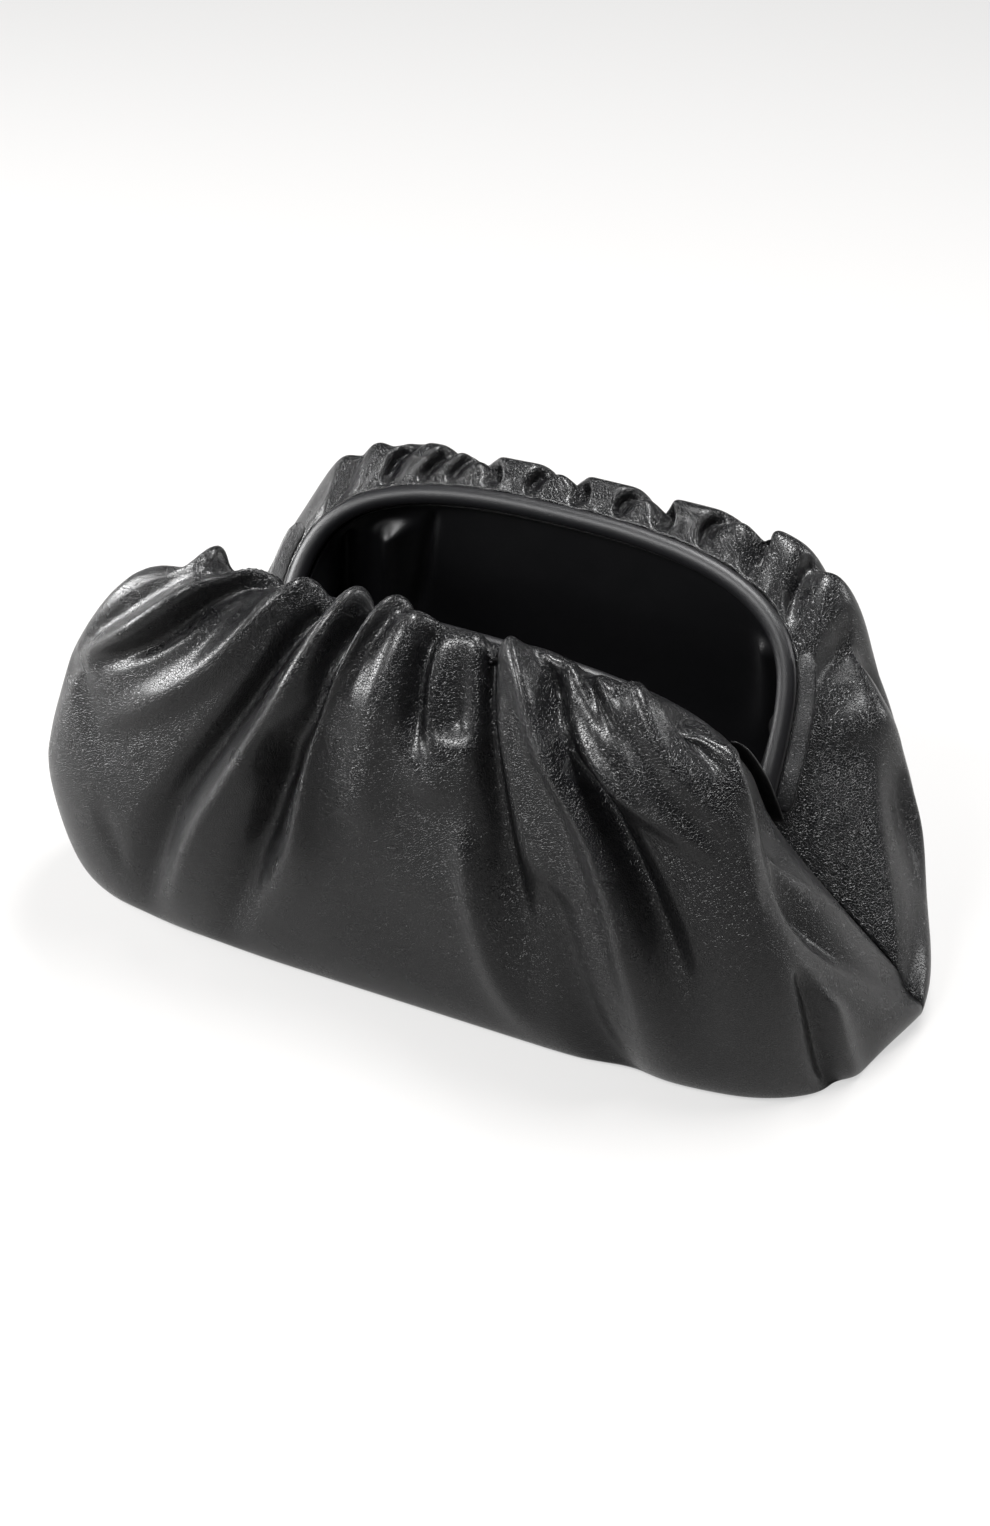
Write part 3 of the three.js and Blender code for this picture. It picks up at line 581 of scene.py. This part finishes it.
def swept_mesh(name, rings):
    """A closed section (count, sides, 3) in mm carried along a path, with capped ends."""
    count, sides = rings.shape[:2]
    index = np.arange(count * sides).reshape(count, sides)
    turned = np.roll(index, -1, axis=1)
    quads = np.stack([index[:-1], turned[:-1], turned[1:], index[1:]], axis=-1).reshape(-1, 4)
    mesh = bpy.data.meshes.new(name)
    faces = quads.tolist() + [index[0, ::-1].tolist(), index[-1].tolist()]
    mesh.from_pydata((rings.reshape(-1, 3) + ORIGIN) * MM, [], faces)
    mesh.polygons.foreach_set("use_smooth", np.ones(len(faces), bool))
    return linked(name, mesh)


TUBE_RINGS, TUBE_SIDES = 240, 28
TUBE_CLOSE = 3  # mm over which the wrap is drawn in at a tube's ends
TUBE_END_SHARE = 0.55  # of its radius, at the very end


def tube_rings(side):
    """The leather-covered tube: a circle about the arch, whose radius grows from each end with the
    square root of the way in."""
    end = 1 - 2 * HINGE_CLEARANCE / ARCH_LENGTH
    u = np.linspace(-end, end, TUBE_RINGS)[:, None]
    angle = -side * 2 * np.pi * np.arange(TUBE_SIDES)[None, :] / TUBE_SIDES
    from_end = (end - np.abs(u)) * ARCH_LENGTH / 2
    close = np.sqrt(np.clip(from_end / TUBE_CLOSE, 0, 1))
    radius = TUBE_RADIUS * (TUBE_END_SHARE + (1 - TUBE_END_SHARE) * close)
    x, rise = arch_point(u + 0 * angle, radius * np.cos(angle))
    return leaning(side, x, rise, radius * np.sin(angle))


frames = {}
for side, name in ((FRONT, "front_tube"), (BACK, "back_tube")):
    frames[side] = swept_mesh(name, tube_rings(side))

STRAP_RINGS, STRAP_SIDES = 90, 24
STRAP_WIDTH, STRAP_THICKNESS = 8.5, 1.6
STRAP_GAP, STRAP_TOP = 0.7, -0.5  # mm from the panel's seam, and out of the arch's plane as in leaning
STRAP_FROM, STRAP_TO = 0.63, 0.955  # in u
STRAP_ROUND = 5  # mm over which its ends close
STRAP_END_SHARE = 0.35  # of its section, at the very end
STRAP_SQUARE = 0.75  # 1 is an oval section and 0 a box
PUCKER_DEEP, PUCKER_LONG = 0.1, 23  # mm, the height and length of the stitches' wave


def strap_rings(side, end):
    """A flat strap beside the tube, on the side towards the mouth: an oval whose sine and cosine are
    raised to a power below 1, which squares it, with a slow wave in its height from the stitches."""
    share = np.linspace(0, 1, STRAP_RINGS)[:, None]
    u = end * (STRAP_FROM + (STRAP_TO - STRAP_FROM) * share)
    long = (STRAP_TO - STRAP_FROM) * ARCH_LENGTH / 2
    from_end = np.minimum(share, 1 - share) * long
    close = np.sqrt(np.clip(from_end / STRAP_ROUND, 0, 1))
    close = STRAP_END_SHARE + (1 - STRAP_END_SHARE) * close
    pucker = PUCKER_DEEP * np.sin(2 * np.pi * share * long / PUCKER_LONG) * close
    angle = 2 * np.pi * np.arange(STRAP_SIDES)[None, :] / STRAP_SIDES
    if side * end > 0:
        angle = -angle
    near = PANEL_OFFSET + STRAP_GAP

    def squash(wave):
        return np.sign(wave) * np.abs(wave) ** STRAP_SQUARE

    out = near + STRAP_WIDTH / 2 * (1 + close * squash(np.cos(angle)))
    apart = STRAP_TOP - pucker - STRAP_THICKNESS / 2 * (1 + close * squash(np.sin(angle)))
    x, rise = arch_point(u + 0 * angle, out + 0 * u)
    return leaning(side, x, rise, apart + 0 * u)


straps = {}
for side, side_name in ((FRONT, "front"), (BACK, "back")):
    for end, end_name in ((-1, "left"), (1, "right")):
        name = f"strap_{side_name}_{end_name}"
        straps[name] = swept_mesh(name + "_cover", strap_rings(side, end))
print("frame tubes:", len(frames), "straps:", len(straps))

# %% [markdown]
# ## Leather
#
# Nappa is a full-grain hide, dyed through and sealed with a thin soft finish. It is nearly black, so
# almost all that is seen is its sheen: a plain reflection spread by a fine cell grain of about a
# millimetre. A picture of leather would repeat and show its seams. A cell texture's edge distance
# gives the grooves instead, and a noise warps them, so no two cells match. The lining and the frame's
# wrap are the same hide, split thinner and less polished.

# %% Materials


def linear(hex_colour):
    """sRGB hex to linear RGBA."""
    parts = np.array([int(hex_colour[i : i + 2], 16) for i in (1, 3, 5)]) / 255
    made = np.where(parts <= 0.04045, parts / 12.92, ((parts + 0.055) / 1.055) ** 2.4)
    return (*made.tolist(), 1.0)


def add_node(tree, kind, links=None, **settings):
    """Adds a node of this kind. A setting is one of its inputs or properties, by name, and a link
    leads another node's output to one of its inputs."""
    node = tree.nodes.new(kind)
    for key, value in settings.items():
        if key in node.inputs:
            node.inputs[key].default_value = value
        else:
            setattr(node, key, value)
    for key, output in (links or {}).items():
        tree.links.new(output, node.inputs[key])
    return node


GRAIN_WARP = 1.2  # mm that the cells are pushed about, at most
WARP_SIZE = 2.5  # of the noise that pushes them, in cells
GROOVE_SHARE = 0.12  # distance from a cell's edge at which the groove ends, where a cell is 1
CREASE_MM = 14  # from one soft crease to the next
WEAR = -0.02, 0.04  # least and most that the roughness strays over the hide


def leather(name, colour, roughness, grain_mm, grain_depth_mm, crease_depth_mm):
    """Nappa: a soft dark finish, which reflects less than a hard varnish, over a fine cell grain
    (grooves where a point is near its cell's edge) and faint creases (a slow noise)."""
    material = bpy.data.materials.new(name)
    material.use_nodes = True
    tree = material.node_tree
    shader = tree.nodes["Principled BSDF"]
    shader.inputs["Base Color"].default_value = linear(colour)
    shader.inputs["IOR"].default_value = 1.5
    shader.inputs["Specular IOR Level"].default_value = 0.3
    place = add_node(tree, "ShaderNodeTexCoord").outputs["Object"]

    warp = add_node(
        tree, "ShaderNodeTexNoise", {"Vector": place}, Scale=1 / (WARP_SIZE * grain_mm * MM), Detail=2.0
    )
    pushed = add_node(
        tree, "ShaderNodeMixRGB", {"Color1": place, "Color2": warp.outputs["Color"]},
        Fac=GRAIN_WARP * MM, blend_type="ADD",
    )
    cells = add_node(
        tree, "ShaderNodeTexVoronoi", {"Vector": pushed.outputs["Color"]},
        feature="DISTANCE_TO_EDGE", Scale=1 / (grain_mm * MM),
    )
    groove = add_node(
        tree, "ShaderNodeMapRange", {"Value": cells.outputs["Distance"]}, **{"From Max": GROOVE_SHARE}
    )
    grain = add_node(
        tree, "ShaderNodeBump", {"Height": groove.outputs["Result"]},
        Strength=1.0, Distance=grain_depth_mm * MM,
    )

    creases = add_node(
        tree, "ShaderNodeTexNoise", {"Vector": place},
        Scale=1 / (CREASE_MM * MM), Detail=2.0, Roughness=0.45,
    )
    creased = add_node(
        tree, "ShaderNodeBump", {"Height": creases.outputs["Fac"], "Normal": grain.outputs["Normal"]},
        Strength=1.0, Distance=crease_depth_mm * MM,
    )
    wear = add_node(
        tree, "ShaderNodeMapRange", {"Value": creases.outputs["Fac"]},
        **{"To Min": roughness + WEAR[0], "To Max": roughness + WEAR[1]},
    )
    tree.links.new(creased.outputs["Normal"], shader.inputs["Normal"])
    tree.links.new(wear.outputs["Result"], shader.inputs["Roughness"])
    return material


# full thickness, lightly polished: soft streaks of light run along the folds
panel_leather = leather("black_nappa_leather", "#050506", 0.27, 1.1, 0.11, 0.12)
# skived, which is shaved thin, and stretched: a matt, even line of light
frame_leather = leather("black_skived_frame_leather", "#08080a", 0.42, 0.8, 0.02, 0.15)
# folded over and pressed flat by its stitches: duller than the panels
strap_leather = leather("black_nappa_strap", "#050506", 0.34, 1.0, 0.05, 0.15)
# thin and unpolished: the pouch stays dark, with a faint glint on a dart
lining_leather = leather("black_lining_leather", "#050506", 0.36, 0.9, 0.02, 0.2)
print("materials:", panel_leather.name, frame_leather.name, strap_leather.name, lining_leather.name)

# %% [markdown]
# ## Dressing
#
# Every new piece rides the one root and takes its leather, and the CAD node that it stands for is
# hidden. The hinges are small enough to keep their CAD form, and take the frame's leather.

# %% Dress the pieces


def dress(piece, node, material):
    """Gives a piece its material, hangs it on the root and hides the CAD node that it stands for."""
    piece.data.materials.append(material)
    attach(piece, "root")
    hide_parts(node)


for side, node in ((FRONT, "front_panel"), (BACK, "back_panel")):
    dress(panels[side], node, panel_leather)
for side in (FRONT, BACK):
    dress(linings[side], "lining", lining_leather)
for side, node in ((FRONT, "front_frame"), (BACK, "back_frame")):
    dress(frames[side], node, frame_leather)
for node, strap in straps.items():
    dress(strap, node, strap_leather)
for name in HINGES:
    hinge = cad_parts[name]
    hinge.data.materials.clear()
    hinge.data.materials.append(frame_leather)
print("pieces dressed:", len(panels) + len(linings) + len(frames) + len(straps) + len(HINGES))

# %% [markdown]
# ## Light
#
# Black leather shows its shape only in what it reflects. A long soft box overhead draws the ridges,
# a weaker one in front lifts the shoulder, and two low ones put a rim of light on the ends: the left
# one beside the bag, the right one behind it. A white floor would throw their light back up and
# wash out the leather's lower half, so this one is a mid grey that looks pale by a glow of its own.

# %% Camera, floor and light
CAMERA_AZIMUTH, CAMERA_ELEVATION = math.radians(26.88), math.radians(33.8)
CAMERA_DISTANCE = 1395
CAMERA_TARGET = np.array([-6.9, 3.45, 73.8])
CAMERA_SENSOR, CAMERA_LENS = 36, 71.47
toward_camera = np.array([
    math.sin(CAMERA_AZIMUTH) * math.cos(CAMERA_ELEVATION),
    -math.cos(CAMERA_AZIMUTH) * math.cos(CAMERA_ELEVATION),
    math.sin(CAMERA_ELEVATION),
])
camera = linked("camera", bpy.data.cameras.new("camera"))
camera.location = (CAMERA_TARGET + ORIGIN + toward_camera * CAMERA_DISTANCE) * MM
camera.rotation_mode = "QUATERNION"
camera.rotation_quaternion = Vector(-toward_camera).to_track_quat("-Z", "Y")
camera.data.sensor_width = CAMERA_SENSOR
camera.data.lens = CAMERA_LENS
camera.data.clip_start, camera.data.clip_end = 0.01, 100
bpy.context.scene.camera = camera

# matt paper, which gives an even tone without a mirror image of the bag
FLOOR_GLOW, SKY_GLOW = 0.58, 0.08
bpy.ops.mesh.primitive_plane_add(size=30, location=(0, 0, 0))
floor = bpy.context.object
floor.name = "floor"
floor_material = bpy.data.materials.new("pale_paper_floor")
floor_material.use_nodes = True
paper = floor_material.node_tree.nodes["Principled BSDF"].inputs
paper["Base Color"].default_value = linear("#646362")
paper["Roughness"].default_value = 0.9
paper["Specular IOR Level"].default_value = 0.1
paper["Emission Color"].default_value = (1, 1, 1, 1)
paper["Emission Strength"].default_value = FLOOR_GLOW
floor.data.materials.append(floor_material)

world = bpy.data.worlds.new("studio")
bpy.context.scene.world = world
world.use_nodes = True
sky = world.node_tree.nodes["Background"].inputs
sky["Color"].default_value = (1, 1, 1, 1)
sky["Strength"].default_value = SKY_GLOW

SOFT_BOXES = (
    # name, place and size in metres, watts
    ("left", (-1.3, -0.3, 0.4), (1.0, 0.5), 54),
    ("right", (1.3, 1.0, 0.6), (0.6, 0.6), 16),
    ("top", (0.2, 0.3, 1.45), (1.1, 0.3), 60),
    ("front", (-0.3, -0.9, 1.2), (0.7, 0.3), 34),
)
LIT_POINT = (0, 0, 0.1)
for name, place, size, power in SOFT_BOXES:
    lamp = bpy.data.lights.new(name, "AREA")
    lamp.shape = "RECTANGLE"
    lamp.size, lamp.size_y = size
    lamp.energy = power
    box = linked(name, lamp)
    box.location = place
    box.rotation_mode = "QUATERNION"
    box.rotation_quaternion = (Vector(LIT_POINT) - Vector(place)).to_track_quat("-Z", "Y")
print("camera at, mm:", [round(v / MM) for v in camera.location], "soft boxes:", len(SOFT_BOXES))
bpy.context.scene.view_settings.view_transform = "Standard"
